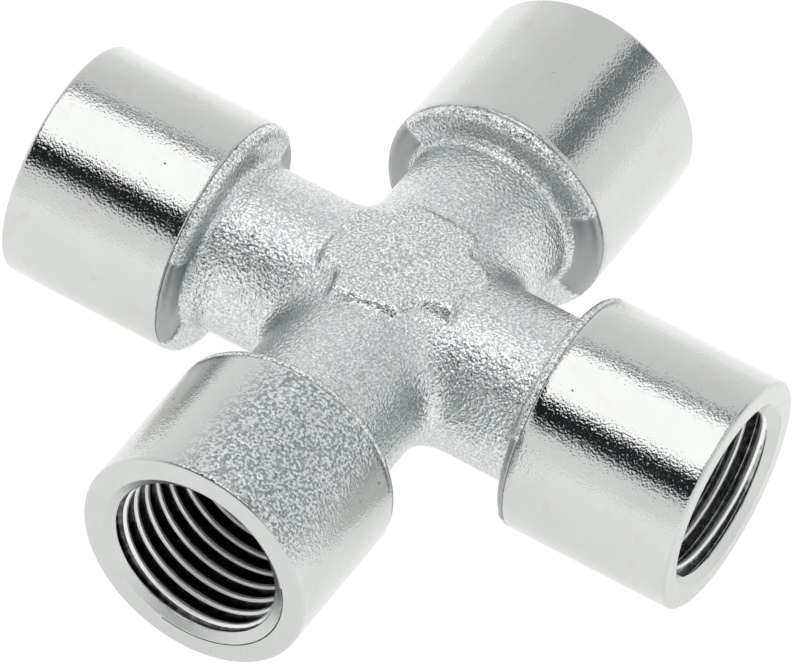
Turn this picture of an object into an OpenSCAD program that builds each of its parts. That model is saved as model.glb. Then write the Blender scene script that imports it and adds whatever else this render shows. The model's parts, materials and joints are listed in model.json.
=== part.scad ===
// Four-way cross fitting with a female G 1/4 pipe thread in each mouth.
// The origin is where the axes of the four mouths cross. Front is -Y, right is +X, and +Z is up.

/* [Fitting] */
// Distance from the crossing of the axes to each mouth
centre_to_mouth = 25.25; // [24.5:0.05:27]
// Outer diameter of the four turned sockets
socket_d = 16.5; // [16:0.1:18]
// Bevel around the outside of each mouth
mouth_bevel = 0.3; // [0.1:0.05:0.6]

/* [Port] */
// Diameter at the crests of the thread, which is the drilled diameter
port_d = 11.445; // [11.4:0.001:11.9]
// Depth of the drilled part of each port
port_depth = 10.9; // [10:0.05:11]
// Diameter where the countersink opens in the mouth
entry_d = 13.3; // [13.2:0.05:14]
// Depth of the countersink
entry_depth = 0.7; // [0.5:0.05:1]

/* [Waterway] */
// Diameter of the two passages that cross in the hub
waterway_d = 8; // [6:0.5:8.5]
// Full angle of the drill's point
drill_point_angle = 118; // [90:1:140]

/* [Forged core] */
// Diameter of the four necks
neck_d = 11.8; // [11.4:0.1:12.4]
// Distance from the crossing of the axes to the back of each shoulder
shoulder_back = 12.3; // [12:0.1:12.4]
// Rounding of each shoulder's outer corner
shoulder_round = 0.6; // [0.3:0.1:0.6]
// Fillet between a neck and its shoulder
shoulder_fillet = 1.4; // [0.8:0.1:1.8]
// Height of the hub from its lower flat to its upper flat
hub_height = 12.6; // [12.4:0.1:13.4]
// Diameter of the hub, which fills the corners between the necks
hub_d = 17.2; // [16.9:0.1:18]

/* [Start of turning] */
// Distance from the crossing of the axes to the turned surface of the front socket
front_start = 14.1; // [13.1:0.1:14.3]
// The same for the right socket
right_start = 13.1; // [13.1:0.1:14.3]
// The same for the back socket
back_start = 13.2; // [13.1:0.1:14.3]
// The same for the left socket
left_start = 13.3; // [13.1:0.1:14.3]

/* [Hidden] */
$fn = 96;
// Turn about Z that sends an arm along +X to each side
RIGHT = 0;
BACK = 90;
LEFT = 180;
FRONT = 270;
starts = [[RIGHT, right_start], [BACK, back_start], [LEFT, left_start], [FRONT, front_start]];
// How far a cut runs past the metal that it cuts
spare = 1;
socket_r = socket_d / 2;
neck_r = neck_d / 2;
port_r = port_d / 2;
port_end = centre_to_mouth - port_depth;
drill_tip = port_end - port_r / tan(drill_point_angle / 2);

// Turns a shape made along +Z so that it runs out along one arm
module on_arm(turn) {
    rotate([0, 0, turn]) rotate([0, 90, 0]) children();
}

// What the drill and the countersink take out of one arm
module port_void() {
    rotate_extrude() polygon([
        [0, drill_tip],
        [port_r, port_end],
        [port_r, centre_to_mouth - entry_depth],
        [entry_d / 2, centre_to_mouth],
        [entry_d / 2, centre_to_mouth + spare],
        [0, centre_to_mouth + spare]
    ]);
}

// Outline of a neck and its shoulder, out to where the turned surface starts
module neck_outline(start) {
    corner = socket_r - shoulder_round;
    square([neck_r, start]);
    translate([0, shoulder_back]) square([corner, start - shoulder_back]);
    translate([0, shoulder_back + shoulder_round])
        square([socket_r, start - shoulder_back - shoulder_round]);
    translate([corner, shoulder_back + shoulder_round]) intersection() {
        circle(shoulder_round);
        translate([0, -shoulder_round]) square(shoulder_round);
    }
    translate([neck_r, shoulder_back - shoulder_fillet]) difference() {
        square(shoulder_fillet);
        translate([shoulder_fillet, 0]) circle(shoulder_fillet);
    }
}

// Round hub with a flat above and below
module hub() {
    intersection() {
        sphere(d = hub_d);
        cube([hub_d, hub_d, hub_height], center = true);
    }
}

// Body of one socket, bevelled at its mouth
module socket_body(start) {
    straight = centre_to_mouth - mouth_bevel - start;
    translate([0, 0, start]) cylinder(d = socket_d, h = straight);
    translate([0, 0, start + straight])
        cylinder(d1 = socket_d, d2 = socket_d - 2 * mouth_bevel, h = mouth_bevel);
}

module turned_socket(start) {
    difference() {
        socket_body(start);
        port_void();
        cylinder(d = waterway_d, h = port_end);
    }
}

module forged_core() {
    color([0.66, 0.67, 0.68]) difference() {
        union() {
            hub();
            for (arm = starts) {
                on_arm(arm[0]) rotate_extrude() neck_outline(arm[1]);
            }
        }
        for (turn = [RIGHT, BACK]) {
            on_arm(turn) cylinder(d = waterway_d, h = 2 * centre_to_mouth, center = true);
        }
        for (arm = starts) {
            on_arm(arm[0]) port_void();
        }
    }
}

module socket_front() {
    color([0.80, 0.81, 0.81]) on_arm(FRONT) turned_socket(front_start);
}

module socket_right() {
    color([0.82, 0.82, 0.80]) on_arm(RIGHT) turned_socket(right_start);
}

module socket_back() {
    color([0.81, 0.81, 0.79]) on_arm(BACK) turned_socket(back_start);
}

module socket_left() {
    color([0.82, 0.82, 0.80]) on_arm(LEFT) turned_socket(left_start);
}

forged_core();
socket_front();
socket_right();
socket_back();
socket_left();
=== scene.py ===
"""Equal cross fitting for pipes: a forged core and four turned, threaded sockets, nickel-plated."""

import json
import math

import bmesh
import bpy
import numpy as np
from bpy.props import FloatProperty, FloatVectorProperty, IntProperty, PointerProperty
from mathutils import Matrix, Vector


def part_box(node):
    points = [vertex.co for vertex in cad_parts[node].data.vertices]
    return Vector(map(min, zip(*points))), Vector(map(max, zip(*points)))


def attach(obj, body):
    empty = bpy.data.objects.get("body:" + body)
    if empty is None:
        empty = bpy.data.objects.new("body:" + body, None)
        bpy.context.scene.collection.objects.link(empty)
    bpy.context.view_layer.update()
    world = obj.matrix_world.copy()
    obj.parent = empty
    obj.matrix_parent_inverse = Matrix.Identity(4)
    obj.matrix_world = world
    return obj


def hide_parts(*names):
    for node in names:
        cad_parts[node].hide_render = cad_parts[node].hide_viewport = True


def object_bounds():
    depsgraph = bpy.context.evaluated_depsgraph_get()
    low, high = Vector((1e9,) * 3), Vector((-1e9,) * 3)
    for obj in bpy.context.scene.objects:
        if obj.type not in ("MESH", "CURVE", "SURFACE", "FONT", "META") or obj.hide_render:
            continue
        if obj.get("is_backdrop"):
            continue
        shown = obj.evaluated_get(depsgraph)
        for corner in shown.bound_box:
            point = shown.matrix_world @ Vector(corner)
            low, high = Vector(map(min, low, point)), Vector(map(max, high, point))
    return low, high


bl_info = {
    "name": "Cross Fitting",
    "version": (1, 0, 0),
    "blender": (4, 5, 0),
    "location": "View3D > Sidebar > Cross Fitting",
    "description": "Builds a nickel-plated cross fitting with four female pipe threads",
    "category": "Object",
}

# All lengths are in metres
MM = 0.001
BODY = "root"
# Each arm's name and the way it points
ARMS = {
    "front": Vector((0, -1, 0)),
    "right": Vector((1, 0, 0)),
    "back": Vector((0, 1, 0)),
    "left": Vector((-1, 0, 0)),
}
UP = Vector((0, 0, 1))
# Vertices closer than the first are welded, and edges shorter than the second dropped, in metres
WELD_WITHIN = 2e-6
DROP_UNDER = 1e-7
# The surfaces of a socket, in the order of its materials
OUTSIDE, GROOVE, CREST, FACED = range(4)
# The surfaces of the forged core, in the order of its materials
FORGED, TRIMMED = range(2)

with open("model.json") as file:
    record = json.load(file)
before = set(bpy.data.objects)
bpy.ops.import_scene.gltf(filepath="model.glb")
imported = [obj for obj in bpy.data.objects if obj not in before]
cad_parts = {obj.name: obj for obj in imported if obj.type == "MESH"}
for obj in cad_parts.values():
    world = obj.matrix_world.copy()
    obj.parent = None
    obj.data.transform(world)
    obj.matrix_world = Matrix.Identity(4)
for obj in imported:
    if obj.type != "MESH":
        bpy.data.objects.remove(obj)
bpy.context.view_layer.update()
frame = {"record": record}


# ---------------------------------------------------------------- sizes read from the frame


def reach(name):
    """(start, mouth, radius) of an arm's socket: its two ends along the arm, and its outer radius."""
    low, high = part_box("socket_" + name)
    axis = ARMS[name]
    ends = sorted((Vector(low).dot(axis), Vector(high).dot(axis)))
    across = Vector(high).z - Vector(low).z
    return ends[0], ends[1], across / 2


def port(name):
    """(radius, length) of the drilled wall of an arm's port, as the record states it."""
    for mount in frame["record"]["mounts"]:
        if mount["name"] == "port_" + name:
            return mount["dims"]["r_mm"] * MM, mount["dims"]["length_mm"] * MM
    raise ValueError(f"the record has no port on the {name} arm")


def port_end(name, thread):
    """Where the drilled wall of an arm's port ends, as a distance along the arm."""
    return reach(name)[1] - port(name)[1] - thread.entry_depth


# ---------------------------------------------------------------- settings


class CROSS_PG_forging(bpy.types.PropertyGroup):
    """Sizes of the forged core."""

    neck_radius: FloatProperty(
        name="Neck radius",
        description="Radius of the four necks between hub and shoulders",
        default=5.9 * MM,
        unit="LENGTH",
    )
    shoulder_round: FloatProperty(
        name="Shoulder rounding",
        description="Radius of each shoulder's outer corner, which ends where the turning starts",
        default=0.8 * MM,
        unit="LENGTH",
    )
    shoulder_fillet: FloatProperty(
        name="Shoulder fillet",
        description="Size of the blend between a neck and its shoulder",
        default=0.8 * MM,
        unit="LENGTH",
    )
    valley_fillet: FloatProperty(
        name="Valley fillet",
        description="Size of the blend in the corners between neighbouring necks",
        default=1.9 * MM,
        unit="LENGTH",
    )
    pad_half: FloatProperty(
        name="Hub pad half width",
        description="Half the width of the raised flat on top of and below the hub",
        default=4.9 * MM,
        unit="LENGTH",
    )
    pad_height: FloatProperty(
        name="Hub pad height",
        description="Height of the hub's flats above and below the axes",
        default=6.3 * MM,
        unit="LENGTH",
    )
    waterway_radius: FloatProperty(
        name="Waterway radius",
        description="Radius of the two passages that cross in the hub",
        default=4.0 * MM,
        unit="LENGTH",
    )
    flash_depth: FloatProperty(
        name="Flash trim depth",
        description="How deep the trimming of the flash cut into the shoulders, on both sides",
        default=0.14 * MM,
        unit="LENGTH",
    )
    flash_half_angle: FloatProperty(
        name="Flash trim half angle",
        description="How far the trimmed patches reach up and down from the parting line",
        default=math.radians(28),
        subtype="ANGLE",
    )
    cell: FloatProperty(
        name="Mesh cell",
        description="Spacing of the grid from which the skin of the core is drawn",
        default=0.2 * MM,
        unit="LENGTH",
    )


class CROSS_PG_thread(bpy.types.PropertyGroup):
    """Sizes of the turned sockets and their G 1/4 threads."""

    pitch: FloatProperty(
        name="Pitch",
        description="Distance from one thread crest to the next",
        default=1.337 * MM,
        precision=6,
        unit="LENGTH",
    )
    depth: FloatProperty(
        name="Thread depth",
        description="Height of the thread from root to crest",
        default=0.856 * MM,
        precision=6,
        unit="LENGTH",
    )
    flank_angle: FloatProperty(
        name="Flank angle",
        description="Full angle between the flanks of one groove",
        default=math.radians(55),
        subtype="ANGLE",
    )
    entry_radius: FloatProperty(
        name="Countersink radius",
        description="Radius where the countersink opens in the mouth",
        default=6.65 * MM,
        unit="LENGTH",
    )
    entry_depth: FloatProperty(
        name="Countersink depth",
        description="Depth of the countersink in the mouth",
        default=0.7 * MM,
        unit="LENGTH",
    )
    bevel: FloatProperty(
        name="Mouth bevel",
        description="Bevel around the outside of each mouth",
        default=0.3 * MM,
        unit="LENGTH",
    )
    columns: IntProperty(
        name="Steps around",
        description="Mesh steps around a socket",
        default=180,
        min=24,
    )
    rows_per_pitch: IntProperty(
        name="Steps per pitch",
        description="Mesh steps from one thread crest to the next",
        default=24,
        min=8,
    )


class CROSS_PG_finish(bpy.types.PropertyGroup):
    """Colours and finishes of the plated metal."""

    turned_colour: FloatVectorProperty(
        name="Turned nickel",
        description="Colour of the bright turned sockets",
        default=(0.575, 0.588, 0.58),
        subtype="COLOR",
        size=3,
        min=0,
        max=1,
    )
    forged_colour: FloatVectorProperty(
        name="Forged nickel",
        description="Colour of the blasted forged skin",
        default=(0.62, 0.645, 0.65),
        subtype="COLOR",
        size=3,
        min=0,
        max=1,
    )
    turned_roughness: FloatProperty(
        name="Turned roughness",
        description="Roughness of the bright turned sockets",
        default=0.09,
        min=0,
        max=1,
    )
    forged_roughness: FloatProperty(
        name="Forged roughness",
        description="Roughness of the blasted forged skin",
        default=0.16,
        min=0,
        max=1,
    )
    peening: FloatProperty(
        name="Peening depth",
        description="Depth of the fine dimples that barrel finishing left on the sockets",
        default=0.021 * MM,
        precision=6,
        unit="LENGTH",
    )
    dents: FloatProperty(
        name="Dent depth",
        description="Depth of the hammered marks on top of the front socket",
        default=0.12 * MM,
        precision=6,
        unit="LENGTH",
    )
    dimples: FloatProperty(
        name="Forged dimple depth",
        description="Depth of the dimples that blasting left on the forged skin",
        default=0.052 * MM,
        precision=6,
        unit="LENGTH",
    )


class CROSS_PG_stage(bpy.types.PropertyGroup):
    """Camera, light and floor."""

    azimuth: FloatProperty(
        name="Camera azimuth",
        description="How far the camera stands round from the front towards the right",
        default=math.radians(24.4),
        subtype="ANGLE",
    )
    elevation: FloatProperty(
        name="Camera elevation",
        description="Height of the camera above the horizon",
        default=math.radians(47.3),
        subtype="ANGLE",
    )
    roll: FloatProperty(
        name="Camera roll",
        description="Turn of the camera about its own axis",
        default=math.radians(8.7),
        subtype="ANGLE",
    )
    distance: FloatProperty(
        name="Camera distance",
        description="Distance from the camera to the middle of the fitting",
        default=0.65,
        unit="LENGTH",
    )
    focal_length: FloatProperty(
        name="Focal length",
        description="Focal length in millimetres on a 36 mm sensor",
        default=450,
    )
    ambient: FloatProperty(
        name="Room brightness",
        description="Brightness of the pale room around the fitting",
        default=1.08,
        min=0,
    )
    softbox: FloatProperty(
        name="Softbox brightness",
        description="Brightness of the round softbox overhead",
        default=1.45,
        min=0,
    )


# ---------------------------------------------------------------- mesh helpers


def as_piece(name, verts, faces, material_of_face, materials):
    """Makes a mesh piece that rides on the fitting and takes the place of its CAD node."""
    mesh = bpy.data.meshes.new(name + "_skin")
    mesh.from_pydata([tuple(v) for v in verts], [], faces)
    for material in materials:
        mesh.materials.append(material)
    mesh.polygons.foreach_set("material_index", np.asarray(material_of_face, dtype=np.int32))
    welded = bmesh.new()
    welded.from_mesh(mesh)
    bmesh.ops.remove_doubles(welded, verts=welded.verts, dist=WELD_WITHIN)
    bmesh.ops.dissolve_degenerate(welded, edges=welded.edges, dist=DROP_UNDER)
    bmesh.ops.recalc_face_normals(welded, faces=welded.faces)
    welded.to_mesh(mesh)
    welded.free()
    mesh.shade_smooth()
    piece = bpy.data.objects.new(name + "_skin", mesh)
    bpy.context.scene.collection.objects.link(piece)
    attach(piece, BODY)
    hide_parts(name)
    return piece


def grid_faces(rows, columns):
    """Quads of a grid of rows by columns vertices, open at both ends."""
    row, column = np.meshgrid(np.arange(rows - 1), np.arange(columns - 1), indexing="ij")
    corner = (row * columns + column).ravel()
    return np.stack([corner, corner + 1, corner + columns + 1, corner + columns], 1)


def around(axis, along, radius, angle):
    """Points at distances along an arm, at radii from its axis, at angles from straight up."""
    side = np.array(axis.cross(UP))
    up = np.array(UP)
    out = np.array(axis)
    ring = np.cos(angle)[..., None] * up + np.sin(angle)[..., None] * side
    return along[..., None] * out + radius[..., None] * ring


def smooth_step(low, high, value):
    """0 below low, 1 above high, and an even curve between."""
    t = np.clip((value - low) / (high - low), 0, 1)
    return t * t * (3 - 2 * t)


# ---------------------------------------------------------------- forged core


def blend_min(a, b, size):
    """Union of two distance fields with a fillet."""
    h = np.clip(0.5 + 0.5 * (b - a) / size, 0, 1)
    return b * (1 - h) + a * h - size * h * (1 - h)


def blend_max(a, b, size):
    """Intersection of two distance fields with a rounded edge."""
    return -blend_min(-a, -b, size)


# Half the angle of the drill's point, which ends the port
DRILL_POINT = math.radians(59)


def bore_radius(along, drilled_to, port_radius, waterway):
    """Radius of the drilled passage at a distance along an arm: waterway, drill point, then port."""
    cone = port_radius - (drilled_to - along) * math.tan(DRILL_POINT)
    return np.clip(cone, waterway, port_radius)


class Forging:
    """Distance field of the forged core: negative inside the metal, in metres."""

    SEAM_ROUND = 0.16 * MM
    # Where the trimmed patches start, out from the axis, and how softly they end
    TRIM_FROM = 6.4 * MM
    TRIM_SOFT = 0.1 * MM
    TRIM_SOFT_ANGLE = 0.012
    # How far back from the seam a trimmed patch may reach, in roundings of the shoulder
    SHOULDER_REACH = 2.2
    # The hub's pad, as parts of its half width: front edge and its lean, corner cuts, and scoops
    PAD_FRONT = 0.912
    PAD_LEAN = 0.215
    PAD_CORNER = 1.49
    SCOOP_AT = 0.83
    SCOOP_SIZE = 0.25
    DEEP_SCOOP_SIZE = 0.41
    PAD_DRAFT = 0.2
    PAD_ROUND = 0.5 * MM
    PAD_EDGE_ROUND = 0.3 * MM
    PAD_FILLET = 0.25 * MM

    def __init__(self, size, thread):
        self.size = size
        self.starts = {name: reach(name)[0] for name in ARMS}
        _, _, self.radius = reach("front")
        self.port_radius, _ = port("front")
        self.drilled_to = port_end("front", thread)

    def trimmed(self, side, up, around_axis):
        """1 on the patches of the shoulders where the flash was trimmed off, 0 elsewhere."""
        angle = np.arctan2(np.abs(up), np.abs(side))
        half = self.size.flash_half_angle
        near = 1 - smooth_step(half - self.TRIM_SOFT_ANGLE, half + self.TRIM_SOFT_ANGLE, angle)
        low, high = self.TRIM_FROM - self.TRIM_SOFT, self.TRIM_FROM + self.TRIM_SOFT
        return near * smooth_step(low, high, around_axis)

    def arm(self, along, side, up, start_high, start_low):
        """One straight run of the cross: two necks in line, with a shoulder at each end."""
        size = self.size
        around_axis = np.hypot(side, up)
        neck = around_axis - size.neck_radius
        # The shoulder is a disc with a rounded outer corner, blended into the neck
        rounding = size.shoulder_round
        start = np.where(along > 0, start_high, start_low)
        behind = start - np.abs(along)
        behind = behind + size.flash_depth * self.trimmed(side, up, around_axis)
        across = around_axis - (self.radius - rounding)
        outside = np.hypot(np.maximum(across, 0), np.maximum(behind, 0))
        shoulder = np.minimum(np.maximum(across, behind), 0) + outside - rounding
        body = blend_min(neck, shoulder, size.shoulder_fillet)
        ends = np.maximum(along - start_high, -start_low - along)
        return blend_max(body, ends, self.SEAM_ROUND)

    def pad(self, x, y, z):
        """Raised flat of the hub: a square with cut corners, each scooped out by the valley below it."""
        half = self.size.pad_half
        ax, ay = np.abs(x), np.abs(y)
        # The front edge leans a little, as the die cut it
        front = (ay + self.PAD_LEAN * x) - self.PAD_FRONT * half
        edge = np.where(y < 0, front, ay - half)
        square = blend_max(ax - half, edge, self.PAD_EDGE_ROUND)
        corner = (ax + ay - self.PAD_CORNER * half) * math.sqrt(0.5)
        plan = blend_max(square, corner, self.PAD_ROUND)
        # The scoop on the front right corner was cut deeper than the others
        scoop_at = self.SCOOP_AT * half
        scoop_size = np.where((x > 0) & (y < 0), self.DEEP_SCOOP_SIZE, self.SCOOP_SIZE) * half
        scoop = scoop_size - np.hypot(ax - scoop_at, ay - scoop_at)
        plan = blend_max(plan, scoop, self.PAD_ROUND)
        above = np.abs(z) - self.size.pad_height
        return blend_max(plan + self.PAD_DRAFT * above, above, self.PAD_ROUND)

    def __call__(self, points):
        """Distance from points to the surface of the core."""
        size = self.size
        x, y, z = points[..., 0], points[..., 1], points[..., 2]
        run_x = self.arm(x, y, z, self.starts["right"], self.starts["left"])
        run_y = self.arm(y, x, z, self.starts["back"], self.starts["front"])
        body = blend_min(run_x, run_y, size.valley_fillet)
        body = blend_min(body, self.pad(x, y, z), self.PAD_FILLET)
        for along, side in ((x, y), (y, x)):
            bore = bore_radius(
                np.abs(along), self.drilled_to, self.port_radius, size.waterway_radius
            )
            body = np.maximum(body, bore - np.hypot(side, z))
        return body


def skin(field, low, high, cell):
    """Closed quad mesh on the zero level of a distance field, over a grid between two corners."""
    counts = np.ceil((high - low) / cell).astype(int) + 1
    axes = [low[i] + cell * np.arange(counts[i]) for i in range(3)]
    value = field(np.stack(np.meshgrid(*axes, indexing="ij"), -1))
    inside = value < 0
    cells = counts - 1
    total = np.zeros((*cells, 3))
    crossings = np.zeros(cells)
    steps = [(i, j, k) for i in (0, 1) for j in (0, 1) for k in (0, 1)]

    def corner(block, step):
        return block[tuple(slice(s, s + n) for s, n in zip(step, cells))]

    for step in steps:
        for axis in range(3):
            if step[axis]:
                continue
            other = tuple(1 if i == axis else s for i, s in enumerate(step))
            a, b = corner(value, step), corner(value, other)
            crossed = corner(inside, step) != corner(inside, other)
            share = np.where(crossed, a / np.where(crossed, a - b, 1), 0)
            place = [share if i == axis else float(step[i]) for i in range(3)]
            total += np.stack([np.where(crossed, p, 0) for p in place], -1)
            crossings += crossed
    used = crossings > 0
    number = np.full(cells, -1)
    number[used] = np.arange(used.sum())
    base = np.argwhere(used)
    points = low + cell * (base + total[used] / crossings[used][:, None])
    faces = []
    for axis in range(3):
        one, two = [i for i in range(3) if i != axis]
        first = tuple(slice(0, -1) if i == axis else slice(1, -1) for i in range(3))
        second = tuple(slice(1, None) if i == axis else slice(1, -1) for i in range(3))
        here, there = inside[first], inside[second]
        at = np.argwhere(here != there)
        at[:, one] += 1
        at[:, two] += 1
        back_one, back_two = np.eye(3, dtype=int)[one], np.eye(3, dtype=int)[two]
        ring = [at, at - back_one, at - back_one - back_two, at - back_two]
        quad = np.stack([number[tuple(c.T)] for c in ring], 1)
        flip = here[here != there] == (axis == 1)
        quad[flip] = quad[flip][:, ::-1]
        faces.append(quad)
    return points, np.concatenate(faces)


# Below this squared slope a field's slope is too small to divide by
LEAST_SLOPE = 0.2


def settle(points, field, step):
    """Moves points onto the zero level of a distance field, in three rounds."""
    for _ in range(3):
        value = field(points)
        slope = np.stack(
            [
                (field(points + step * unit) - field(points - step * unit)) / (2 * step)
                for unit in np.eye(3)
            ],
            -1,
        )
        length = np.maximum((slope**2).sum(-1), LEAST_SLOPE)
        move = -value[:, None] * slope / length[:, None]
        points = points + np.clip(move, -2 * step, 2 * step)
    return points


# ---------------------------------------------------------------- turned sockets


def thread_depth(phase, thread):
    """Depth of the groove below the crest at a phase of the pitch, with the corners eased."""
    pitch, depth = thread.pitch, thread.depth
    slope = 1 / math.tan(thread.flank_angle / 2)
    crest_half = (pitch - 2 * depth / slope) / 4
    ease = np.linspace(-THREAD_EASE, THREAD_EASE, 7) * pitch
    away = (phase[..., None] - np.round(phase[..., None])) * pitch + ease
    return np.clip((np.abs(away) - crest_half) * slope, 0, depth).mean(-1)


# How far round from the top a thread crest passes the end of the countersink, as a part of the pitch
CREST_START = {"front": 0.33, "right": 0.435, "back": 0.40, "left": 0.10}
# How much the corners of the thread are eased, as a part of the pitch
THREAD_EASE = 0.05
# The thread fades in behind the mouth and out before the drilled end, between these distances
FADE_IN = (0.25 * MM, 0.85 * MM)
FADE_OUT = (0.6 * MM, 1.9 * MM)
# How far below the crest the thread takes the painted highlight of the crest material, facing the mouth
# and facing away from it
CREST_HIGHLIGHT_DEPTHS = (0.22 * MM, 0.07 * MM)
# Points of the small bevel at the seam, each as (ahead of the seam, in from the outside)
SEAM_BEVEL = ((0, 0.14 * MM), (0.04 * MM, 0.04 * MM), (0.12 * MM, 0))
# The even rows of a socket's side keep this far from the seam and from the mouth's bevel
SIDE_MARGINS = (0.5 * MM, 0.1 * MM)
# The rows of the faced ring stand this far in from the bevel, and out from the countersink
FACE_MARGINS = (0.2 * MM, 0.1 * MM)
# Around from the top, the middle of the painted shade line on the edge of the countersink, and how far
# it reaches to either side
SHADE_LINE_AT = 1.25 * math.pi
SHADE_LINE_HALF_ANGLE = math.radians(60)


def build_socket(name, thread, forging, materials):
    """One turned socket: body, mouth, countersink, helical thread, drilled end and back face."""
    axis = ARMS[name]
    start, mouth, radius = reach(name)
    port_radius, _ = port(name)
    drilled_to = port_end(name, thread)
    columns = thread.columns + 1
    turn = np.linspace(0, 2 * np.pi, columns)
    verts, faces, kinds = [], [], []

    def add(along, rad, angle, kind):
        offset = sum(len(v) for v in verts)
        points = around(axis, along, rad, angle)
        quads = grid_faces(*along.shape)
        verts.append(points.reshape(-1, 3))
        faces.append(quads + offset)
        kinds.append(np.broadcast_to(kind, len(quads)) if np.isscalar(kind) else kind)

    # Outside, from the inner edge of the back face to the rim of the countersink
    bore_at_start = float(
        bore_radius(np.array(start), drilled_to, port_radius, forging.waterway_radius)
    )
    bevel = thread.bevel
    outline = [(start, bore_at_start)]
    outline += [(start + ahead, radius - inward) for ahead, inward in SEAM_BEVEL]
    side = np.linspace(start + SIDE_MARGINS[0], mouth - bevel - SIDE_MARGINS[1], 20)
    outline += [(s, radius) for s in side]
    for share in np.linspace(0, math.pi / 2, 6):
        outline.append(
            (mouth - bevel * (1 - math.sin(share)), radius - bevel * (1 - math.cos(share)))
        )
    outline += [(mouth, radius - bevel - FACE_MARGINS[0])]
    outline += [(mouth, thread.entry_radius + FACE_MARGINS[1]), (mouth, thread.entry_radius)]
    s, r = np.array(outline).T
    along, angle = np.meshgrid(s, turn, indexing="ij")
    kind = np.where(along < mouth - 0.5 * bevel, OUTSIDE, FACED)
    # Painted shade: the lower edge of the countersink, off to one side, gets a dark line of the thread
    # groove's darkened material
    shaded_rim = np.cos(turn - SHADE_LINE_AT) > math.cos(SHADE_LINE_HALF_ANGLE)
    kind[-2] = np.where(shaded_rim, GROOVE, FACED)
    add(along, np.broadcast_to(r[:, None], along.shape), angle, kind[:-1, :-1].ravel())

    # Thread: every row of the grid follows the helix
    steps = thread.rows_per_pitch
    turns = (mouth - drilled_to) / thread.pitch + 1
    row = np.arange(int(math.ceil(turns * steps)) + 1) / steps
    u, angle = np.meshgrid(row, turn, indexing="ij")
    along = np.clip(mouth - thread.pitch * (u - angle / (2 * np.pi)), drilled_to, mouth)
    fade = smooth_step(drilled_to + FADE_OUT[0], drilled_to + FADE_OUT[1], along)
    fade = fade * smooth_step(*FADE_IN, mouth - along)
    depth = thread_depth(u - CREST_START[name], thread) * fade
    sink = (thread.entry_radius - port_radius) / thread.entry_depth
    countersink = thread.entry_radius - (mouth - along) * sink
    rad = np.maximum(port_radius + depth, countersink)
    cone = countersink >= port_radius + depth
    # Painted highlight: the crest and the edge of it that faces the mouth, where the light comes in,
    # take the brighter crest material
    towards_mouth = (u - CREST_START[name]) % 1 > 0.5
    bright = depth < np.where(towards_mouth, *CREST_HIGHLIGHT_DEPTHS)
    kind = np.where(cone, FACED, np.where(bright, CREST, GROOVE))
    add(along, rad, angle, kind[:-1, :-1].ravel())

    # Drilled end: the drill's point, and the waterway where the socket reaches that far back
    s = np.linspace(drilled_to, start, 12)
    along, angle = np.meshgrid(s, turn, indexing="ij")
    rad = bore_radius(along, drilled_to, port_radius, forging.waterway_radius)
    add(along, rad, angle, GROOVE)
    return as_piece(
        "socket_" + name,
        np.concatenate(verts),
        np.concatenate(faces).tolist(),
        np.concatenate(kinds),
        materials,
    )


# ---------------------------------------------------------------- materials


class Nodes:
    """Short calls for laying out a node tree."""

    def __init__(self, tree):
        self.tree = tree
        self.tree.nodes.clear()

    def feed(self, socket, value):
        """Links a socket to another node's output, or sets its value."""
        if isinstance(value, bpy.types.NodeSocket):
            self.tree.links.new(value, socket)
        else:
            socket.default_value = value

    def new(self, kind, inputs=None, **settings):
        """A node with its settings made and its inputs fed."""
        node = self.tree.nodes.new(kind)
        for key, value in settings.items():
            setattr(node, key, value)
        for key, value in (inputs or {}).items():
            self.feed(node.inputs[key], value)
        return node

    def place(self):
        """Where a point lies on its piece, in metres."""
        return self.new("ShaderNodeTexCoord").outputs["Object"]

    def math(self, operation, a, b=0.0, c=0.0, clamp=False):
        """Result of a sum on up to three values."""
        node = self.new("ShaderNodeMath", operation=operation, use_clamp=clamp)
        for socket, value in zip(node.inputs, (a, b, c)):
            self.feed(socket, value)
        return node.outputs[0]

    def bump(self, height, distance, strength=1.0, over=None):
        """Normals of a relief that is distance metres deep, laid over other normals if given."""
        inputs = {"Height": height, "Strength": strength, "Distance": distance}
        if over is not None:
            inputs["Normal"] = over
        return self.new("ShaderNodeBump", inputs).outputs[0]

    def ramp(self, value, low, high, to_low=0.0, to_high=1.0):
        """Even curve from to_low to to_high as value goes from low to high."""
        node = self.new(
            "ShaderNodeMapRange",
            {"Value": value, "From Min": low, "From Max": high, "To Min": to_low, "To Max": to_high},
            interpolation_type="SMOOTHSTEP",
        )
        return node.outputs["Result"]

    def noise(self, place, size, detail=2.0, rough=0.5, stretch=None):
        """Noise whose features are about size metres across."""
        if stretch:
            place = self.new("ShaderNodeMapping", {"Vector": place, "Scale": stretch}).outputs[0]
        node = self.new(
            "ShaderNodeTexNoise",
            {"Vector": place, "Scale": 1 / size, "Detail": detail, "Roughness": rough},
        )
        return node.outputs["Fac"]

    def mix(self, factor, a, b):
        """Colour that goes from a to b as the factor goes from 0 to 1."""
        node = self.new("ShaderNodeMix", data_type="RGBA")
        for key, value in (("Factor", factor), ("A", a), ("B", b)):
            self.feed(next(s for s in node.inputs if s.name == key and s.enabled), value)
        return next(s for s in node.outputs if s.enabled)


def tint(colour, factors):
    """An opaque colour with each of its channels made lighter or darker."""
    return (*[c * factor for c, factor in zip(colour, factors)], 1.0)


def shade(colour, factor):
    """An opaque colour made lighter or darker."""
    return tint(colour, (factor,) * 3)


def finish_with(nodes, colour, roughness, normal):
    """Ends a material in a metal shader."""
    shader = nodes.new(
        "ShaderNodeBsdfPrincipled",
        {"Base Color": colour, "Metallic": 1.0, "Roughness": roughness, "Normal": normal},
    )
    nodes.new("ShaderNodeOutputMaterial", {"Surface": shader.outputs["BSDF"]})


def new_material(name):
    """A material, and the calls that lay out its nodes."""
    material = bpy.data.materials.new(name)
    material.use_nodes = True
    return material, Nodes(material.node_tree)


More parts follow.
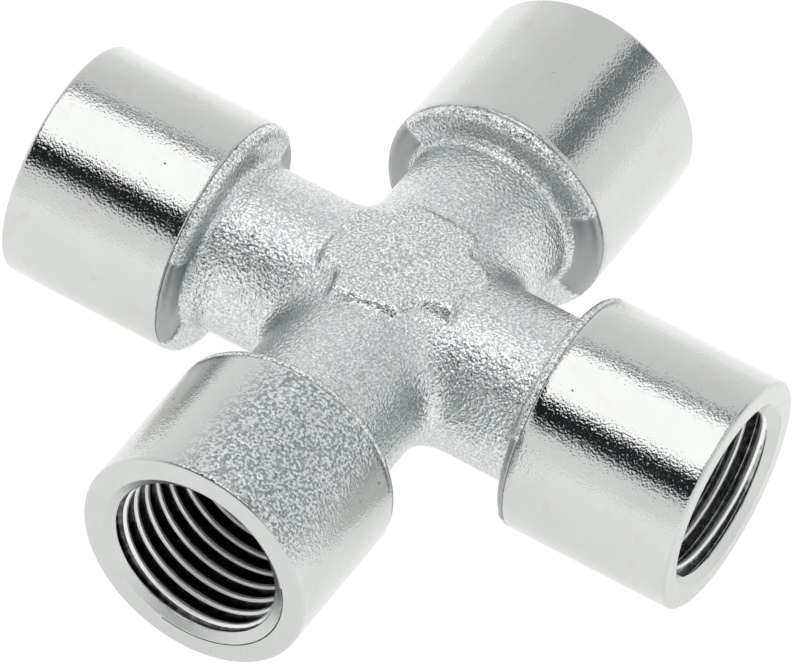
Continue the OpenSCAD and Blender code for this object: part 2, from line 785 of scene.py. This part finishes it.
# The way the hammered marks of the front socket face, and how far out they start and are full
DENTED_SIDE = (0.36, 0.0, 0.93)
DENTED_FROM = (6.0 * MM, 7.8 * MM)
# Painted reflections on the hammered marks: dark cold specks and bright glints
DENT_DARK_REFLECTION = (0.18, 0.23, 0.27, 1.0)
DENT_GLINT = (0.76, 0.78, 0.78, 1.0)
# Near black for the pits: partly the pits' own mark, partly painted shade down in them
PIT_COLOUR = (0.06, 0.065, 0.07, 1.0)
# Pits stand about this far apart, and only where a random number from 0 to 1 passes this limit
PIT_SPACING = 1.5 * MM
PIT_CHANCE = 0.96


def turned_metal(name, settings, dented):
    """Bright plated metal: fine peening, a few pits whose black is partly painted shade, and hammered
    marks where it is dented, with painted glints and dark reflections on them.
    """
    material, nodes = new_material(name)
    place = nodes.place()
    fine = nodes.noise(place, 0.16 * MM, 1.0, 0.5)
    broad = nodes.noise(place, 0.6 * MM, 2.0, 0.5)
    height = nodes.math("MULTIPLY_ADD", broad, 0.5, fine)
    bump = nodes.bump(height, settings.peening)
    if dented:
        outward = nodes.new(
            "ShaderNodeVectorMath", {0: place, 1: DENTED_SIDE}, operation="DOT_PRODUCT"
        ).outputs["Value"]
        dent_area = nodes.ramp(nodes.noise(place, 3.0 * MM, 3.0, 0.6), 0.20, 0.44, 0.35, 1.0)
        dent_area = nodes.math("MULTIPLY", dent_area, nodes.ramp(outward, *DENTED_FROM))
        hammered = nodes.noise(place, 0.22 * MM, 1.0, 0.5)
        relief = nodes.math("MULTIPLY", hammered, dent_area)
        bump = nodes.bump(relief, settings.dents, over=bump)
    pits = nodes.new("ShaderNodeTexVoronoi", {"Vector": place, "Scale": 1 / PIT_SPACING})
    chance = nodes.new("ShaderNodeSeparateColor", {"Color": pits.outputs["Color"]}).outputs[0]
    pit = nodes.ramp(pits.outputs["Distance"], 0.04, 0.09, 1.0, 0.0)
    pit = nodes.math("MULTIPLY", pit, nodes.math("GREATER_THAN", chance, PIT_CHANCE))
    cloud = nodes.noise(place, 2.5 * MM, 3.0, 0.6)
    stain = nodes.ramp(nodes.noise(place, 1.7 * MM, 3.0, 0.6), 0.58, 0.74)
    colour = settings.turned_colour
    base = nodes.mix(cloud, shade(colour, 0.94), shade(colour, 1.06))
    warm = tint(colour, (0.97, 0.93, 0.87))
    base = nodes.mix(nodes.math("MULTIPLY", stain, 0.7), base, warm)
    if dented:
        # Painted reflections: dark cold specks and bright glints on the hammered marks, blended into the
        # colour
        spots = nodes.ramp(hammered, 0.38, 0.62)
        cold = nodes.mix(spots, DENT_DARK_REFLECTION, DENT_GLINT)
        base = nodes.mix(nodes.math("MULTIPLY", dent_area, 0.75), base, cold)
    # The pits' near-black is partly their own mark and partly painted shade in the hollow
    base = nodes.mix(pit, base, PIT_COLOUR)
    dull = settings.turned_roughness
    rough = nodes.ramp(cloud, 0.3, 0.7, dull * 0.8, dull * 1.3)
    rough = nodes.math("MULTIPLY_ADD", pit, 0.4, rough, clamp=True)
    finish_with(nodes, base, rough, bump)
    return material


# From one ring of the facing cut to the next
CUT_SPACING = 0.07 * MM


def faced_metal(settings):
    """The faced ends and countersinks: flat, a little duller, with the rings of the facing cut."""
    material, nodes = new_material("faced_nickel")
    place = nodes.place()
    cloud = nodes.noise(place, 1.8 * MM, 3.0, 0.6)
    colour = settings.turned_colour
    base = nodes.mix(cloud, shade(colour, 0.90), shade(colour, 1.02))
    speck = nodes.ramp(nodes.noise(place, 0.35 * MM, 3.0, 0.6), 0.74, 0.80)
    base = nodes.mix(nodes.math("MULTIPLY", speck, 0.8), base, shade(colour, 0.25))
    distance = nodes.new("ShaderNodeVectorMath", {0: place}, operation="LENGTH").outputs["Value"]
    cut = nodes.math("SINE", nodes.math("MULTIPLY", distance, 2 * math.pi / CUT_SPACING))
    fine = nodes.math("MULTIPLY_ADD", nodes.noise(place, 0.2 * MM, 2.0), 3.0, cut)
    bump = nodes.bump(fine, 0.003 * MM, strength=0.5)
    finish_with(nodes, base, nodes.ramp(cloud, 0.3, 0.7, 0.20, 0.30), bump)
    return material


def groove_metal(name, settings, darkest, lightest):
    """Metal down in the thread and the drilled end, darkened by painted shade in patches between darkest
    and lightest, with the lines the tap left.
    """
    material, nodes = new_material(name)
    place = nodes.place()
    cloud = nodes.noise(place, 0.5 * MM, 3.0, 0.6)
    colour = settings.turned_colour
    shade_patch = nodes.ramp(cloud, 0.35, 0.75)
    base = nodes.mix(shade_patch, shade(colour, darkest), shade(colour, lightest))
    fine = nodes.noise(place, 0.1 * MM, 3.0)
    bump = nodes.bump(fine, 0.008 * MM, strength=0.6)
    finish_with(nodes, base, nodes.ramp(cloud, 0.3, 0.7, 0.16, 0.26), bump)
    return material


def crest_metal(settings):
    """Thread crests, with a painted highlight: their colour is set well above the nickel's own."""
    material, nodes = new_material("thread_crest_painted_highlight")
    place = nodes.place()
    cloud = nodes.noise(place, 0.4 * MM, 3.0, 0.6)
    colour = settings.turned_colour
    base = nodes.mix(cloud, shade(colour, 1.35), shade(colour, 1.55))
    bump = nodes.bump(cloud, 0.01 * MM, strength=0.5)
    finish_with(nodes, base, nodes.ramp(cloud, 0.3, 0.7, 0.38, 0.50), bump)
    return material


def forged_metal(settings):
    """Blasted and plated forged skin: a coarse grain of dimples that sparkles, with painted highlights
    on the grain's peaks and painted shade in its hollows.
    """
    material, nodes = new_material("forged_nickel")
    place = nodes.place()
    drift = nodes.math("MULTIPLY", nodes.noise(place, 0.5 * MM, 2.0), 0.3 * MM)
    aside = nodes.new("ShaderNodeCombineXYZ", {"X": drift, "Z": drift}).outputs[0]
    wobble = nodes.new("ShaderNodeVectorMath", {0: place, 1: aside}, operation="ADD").outputs[0]
    dimple = nodes.new(
        "ShaderNodeTexVoronoi",
        {"Vector": wobble, "Scale": 1 / (0.25 * MM), "Smoothness": 0.3},
        feature="SMOOTH_F1",
    ).outputs["Distance"]
    fine = nodes.noise(place, 0.15 * MM, 1.0, 0.5)
    height = nodes.math("MULTIPLY_ADD", fine, 1.1, dimple)
    broad = nodes.noise(place, 1.3 * MM, 2.0, 0.5)
    height = nodes.math("MULTIPLY_ADD", broad, 0.5, height)
    bump = nodes.bump(height, settings.dimples)
    cloud = nodes.noise(place, 2.4 * MM, 3.0, 0.6)
    colour = settings.forged_colour
    base = nodes.mix(cloud, shade(colour, 0.95), shade(colour, 1.05))
    # Painted light: the hub's flats, which face up, are tinted a little warmer for the light they catch,
    # and their grain gets stronger painted highlights and shade
    along_z = nodes.new("ShaderNodeSeparateXYZ", {"Vector": place}).outputs["Z"]
    flat = nodes.ramp(nodes.math("ABSOLUTE", along_z), 5.9 * MM, 6.2 * MM)
    base = nodes.mix(flat, base, tint(colour, (1.02, 1.00, 0.97)))
    # Painted highlights on the grain's peaks and painted shade in its hollows, stronger on the flats
    grain = nodes.noise(place, 0.17 * MM, 0.0)
    grain_highlight = nodes.ramp(grain, 0.52, 0.66)
    strength = nodes.math("MULTIPLY_ADD", flat, 0.35, 0.45)
    base = nodes.mix(nodes.math("MULTIPLY", grain_highlight, strength), base, shade(colour, 1.45))
    grain_shade = nodes.ramp(grain, 0.34, 0.46, 1.0, 0.0)
    base = nodes.mix(nodes.math("MULTIPLY", grain_shade, strength), base, shade(colour, 0.66))
    dull = settings.forged_roughness
    rough = nodes.ramp(fine, 0.3, 0.7, dull * 1.15, dull * 0.8)
    finish_with(nodes, base, rough, bump)
    return material


def trimmed_metal(settings):
    """Patches where the flash was sheared off: smoother than the forged skin, and darker with a painted
    reflection of the shaded floor beside the fitting.
    """
    material, nodes = new_material("trimmed_flash_painted_reflection")
    place = nodes.place()
    cloud = nodes.noise(place, 0.8 * MM, 3.0, 0.6)
    colour = settings.forged_colour
    # Painted reflection: the patches are darkened well below the forged colour, as the shaded floor they
    # face
    base = nodes.mix(cloud, shade(colour, 0.56), shade(colour, 0.66))
    drag = nodes.noise(place, 0.12 * MM, 2.0, 0.5, stretch=(1.0, 1.0, 0.15))
    bump = nodes.bump(drag, 0.012 * MM, strength=0.7)
    finish_with(nodes, base, nodes.ramp(cloud, 0.3, 0.7, 0.34, 0.46), bump)
    return material


# ---------------------------------------------------------------- stage


# Patches of the room, each as azimuth and elevation, then radii where it ends and is full, in degrees
FLAG = (-15, 38, 50, 36)
DOORWAY = (146, 40, 15, 6)
SOFTBOX_RIM = (-60, 75, 37, 31)
SOFTBOX = (-60, 75, 29, 26)
# The flag lies between the first two elevations and the last two, in degrees
FLAG_BAND = (24, 31, 49, 53)
ROOM_COLD = (0.75, 0.92, 1.0, 1.0)
ROOM_WHITE = (1.0, 1.0, 0.99, 1.0)
# Brightness of the room overhead, as a part of its brightness at the horizon
OVERHEAD_SHARE = 0.84
PAPER = (0.45, 0.45, 0.445, 1)
PAPER_GLOW = 0.8
# The camera aims this far to the right of the fitting's middle and below it, in millimetres
AIM_RIGHT = 0.27
AIM_DOWN = 0.52


def unit(azimuth, elevation):
    """Direction at an azimuth from the front towards the right, and an elevation, in degrees."""
    a, e = math.radians(azimuth), math.radians(elevation)
    return Vector((math.sin(a) * math.cos(e), -math.cos(a) * math.cos(e), math.sin(e)))


def add_camera(stage):
    """Camera that looks down on the fitting from the front, a little to the right."""
    back = unit(math.degrees(stage.azimuth), math.degrees(stage.elevation))
    right = Vector((math.cos(stage.azimuth), math.sin(stage.azimuth), 0))
    up = back.cross(right)
    c, s = math.cos(stage.roll), math.sin(stage.roll)
    right, up = right * c + up * s, up * c - right * s
    data = bpy.data.cameras.new("camera")
    data.sensor_width = 36
    data.lens = stage.focal_length
    data.clip_start, data.clip_end = 0.01, 10
    camera = bpy.data.objects.new("camera", data)
    turn = Matrix((right, up, back)).transposed()
    aim = right * AIM_RIGHT * MM - up * AIM_DOWN * MM
    camera.matrix_world = Matrix.Translation(back * stage.distance + aim) @ turn.to_4x4()
    bpy.context.scene.collection.objects.link(camera)
    bpy.context.scene.camera = camera


def add_room(stage):
    """Pale room: a round softbox overhead with a dark rim, a flag in front, a doorway behind."""
    world = bpy.data.worlds.new("room")
    world.use_nodes = True
    bpy.context.scene.world = world
    nodes = Nodes(world.node_tree)
    way = nodes.new("ShaderNodeTexCoord").outputs["Generated"]

    def towards(azimuth, elevation):
        return nodes.new(
            "ShaderNodeVectorMath", {0: way, 1: unit(azimuth, elevation)}, operation="DOT_PRODUCT"
        ).outputs["Value"]

    def disc(azimuth, elevation, outer, inner):
        """1 inside a round patch of the room, 0 outside, with a soft edge. Radii in degrees."""
        low, high = math.cos(math.radians(outer)), math.cos(math.radians(inner))
        return nodes.ramp(towards(azimuth, elevation), low, high)

    def darken(level, patch, amount):
        return nodes.math("MULTIPLY", level, nodes.math("MULTIPLY_ADD", patch, -amount, 1.0))

    height = towards(0, 90)
    level = nodes.ramp(height, 0.0, 0.8, stage.ambient, OVERHEAD_SHARE * stage.ambient)
    band = [math.sin(math.radians(degrees)) for degrees in FLAG_BAND]
    above = nodes.ramp(height, band[0], band[1])
    below = nodes.ramp(height, band[2], band[3], 1.0, 0.0)
    flag = nodes.math("MULTIPLY", nodes.math("MULTIPLY", above, below), disc(*FLAG))
    doorway = disc(*DOORWAY)
    rim = disc(*SOFTBOX_RIM)
    softbox = disc(*SOFTBOX)
    level = darken(level, flag, 0.97)
    level = darken(level, doorway, 0.72)
    level = darken(level, rim, 0.80)
    level = nodes.math("MULTIPLY_ADD", softbox, stage.softbox, level)
    # The dark patches are tinted cold
    colour = nodes.mix(nodes.ramp(level, 0.0, 0.8), ROOM_COLD, ROOM_WHITE)
    background = nodes.new("ShaderNodeBackground", {"Color": colour, "Strength": level})
    nodes.new("ShaderNodeOutputWorld", {"Surface": background.outputs[0]})


def add_floor():
    """White paper that the fitting lies on."""
    low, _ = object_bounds()
    mesh = bpy.data.meshes.new("floor")
    half = 3.0
    corners = [(-half, -half, low.z), (half, -half, low.z), (half, half, low.z), (-half, half, low.z)]
    mesh.from_pydata(corners, [], [(0, 1, 2, 3)])
    floor = bpy.data.objects.new("floor", mesh)
    bpy.context.scene.collection.objects.link(floor)
    material, nodes = new_material("white_paper")
    shader = nodes.new("ShaderNodeBsdfPrincipled", {"Base Color": PAPER, "Roughness": 0.9})
    shader.inputs["Emission Color"].default_value = ROOM_WHITE
    shader.inputs["Emission Strength"].default_value = PAPER_GLOW
    nodes.new("ShaderNodeOutputMaterial", {"Surface": shader.outputs["BSDF"]})
    mesh.materials.append(material)
    floor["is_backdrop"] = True


# ---------------------------------------------------------------- operators


class CROSS_OT_forged_core(bpy.types.Operator):
    """Builds the forged core: hub, necks and shoulders, with the crossing waterways"""

    bl_idname = "cross.forged_core"
    bl_label = "Forged Core"

    def execute(self, context):
        size = context.scene.cross_forging
        finish = context.scene.cross_finish
        field = Forging(size, context.scene.cross_thread)
        low, high = (np.array(corner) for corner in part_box("forged_core"))
        margin = 2.5 * size.cell
        points, faces = skin(field, low - margin, high + margin, size.cell)
        points = settle(points, field, 0.1 * size.cell)
        middle = points[faces].mean(1)
        out, side = np.abs(middle[:, :2]).max(1), np.abs(middle[:, :2]).min(1)
        around_axis = np.hypot(side, middle[:, 2])
        trimmed = field.trimmed(side, middle[:, 2], around_axis) > 0.5
        shoulder_from = min(field.starts.values()) - field.SHOULDER_REACH * size.shoulder_round
        on_shoulder = (out > shoulder_from) & (around_axis > field.TRIM_FROM)
        kinds = np.where(trimmed & on_shoulder, TRIMMED, FORGED)
        as_piece(
            "forged_core",
            points,
            faces.tolist(),
            kinds,
            [forged_metal(finish), trimmed_metal(finish)],
        )
        return {"FINISHED"}


class CROSS_OT_sockets(bpy.types.Operator):
    """Builds the four turned sockets with their threads"""

    bl_idname = "cross.sockets"
    bl_label = "Turned Sockets"

    def execute(self, context):
        finish = context.scene.cross_finish
        face = faced_metal(finish)
        bright = turned_metal("turned_nickel", finish, False)
        dinged = turned_metal("turned_nickel_dinged", finish, True)
        # Painted shade darkens the threads and drilled ends; the right socket's is lighter than the
        # others'
        groove = groove_metal("thread_groove_painted_shade", finish, 0.07, 0.30)
        lightly_shaded_groove = groove_metal("thread_groove_lighter_painted_shade", finish, 0.45, 0.95)
        crest = crest_metal(finish)
        for name in ARMS:
            outside = dinged if name == "front" else bright
            inside = lightly_shaded_groove if name == "right" else groove
            build_socket(
                name,
                context.scene.cross_thread,
                context.scene.cross_forging,
                [outside, inside, crest, face],
            )
        return {"FINISHED"}


class CROSS_OT_stage(bpy.types.Operator):
    """Sets up the floor, the light and the camera"""

    bl_idname = "cross.stage"
    bl_label = "Stage"

    def execute(self, context):
        stage = context.scene.cross_stage
        add_room(stage)
        add_floor()
        add_camera(stage)
        context.scene.view_settings.view_transform = "Standard"
        return {"FINISHED"}


class CROSS_PT_panel(bpy.types.Panel):
    """Lists the parts of the fitting and their settings"""

    bl_label = "Cross Fitting"
    bl_idname = "CROSS_PT_panel"
    bl_space_type = "VIEW_3D"
    bl_region_type = "UI"
    bl_category = "Cross Fitting"

    def draw(self, context):
        groups = (
            (CROSS_OT_forged_core, context.scene.cross_forging),
            (CROSS_OT_sockets, context.scene.cross_thread),
            (None, context.scene.cross_finish),
            (CROSS_OT_stage, context.scene.cross_stage),
        )
        for operator, settings in groups:
            box = self.layout.box()
            for key in settings.bl_rna.properties.keys():
                if key not in {"rna_type", "name"}:
                    box.prop(settings, key)
            if operator:
                box.operator(operator.bl_idname)


SETTINGS = {
    "cross_forging": CROSS_PG_forging,
    "cross_thread": CROSS_PG_thread,
    "cross_finish": CROSS_PG_finish,
    "cross_stage": CROSS_PG_stage,
}
CLASSES = (*SETTINGS.values(), CROSS_OT_forged_core, CROSS_OT_sockets, CROSS_OT_stage, CROSS_PT_panel)


def register():
    for cls in CLASSES:
        bpy.utils.register_class(cls)
    for key, group in SETTINGS.items():
        setattr(bpy.types.Scene, key, PointerProperty(type=group))


def unregister():
    for key in SETTINGS:
        delattr(bpy.types.Scene, key)
    for cls in reversed(CLASSES):
        bpy.utils.unregister_class(cls)


def main():
    register()
    bpy.ops.cross.forged_core()
    bpy.ops.cross.sockets()
    bpy.ops.cross.stage()


if __name__ == "__main__":
    main()
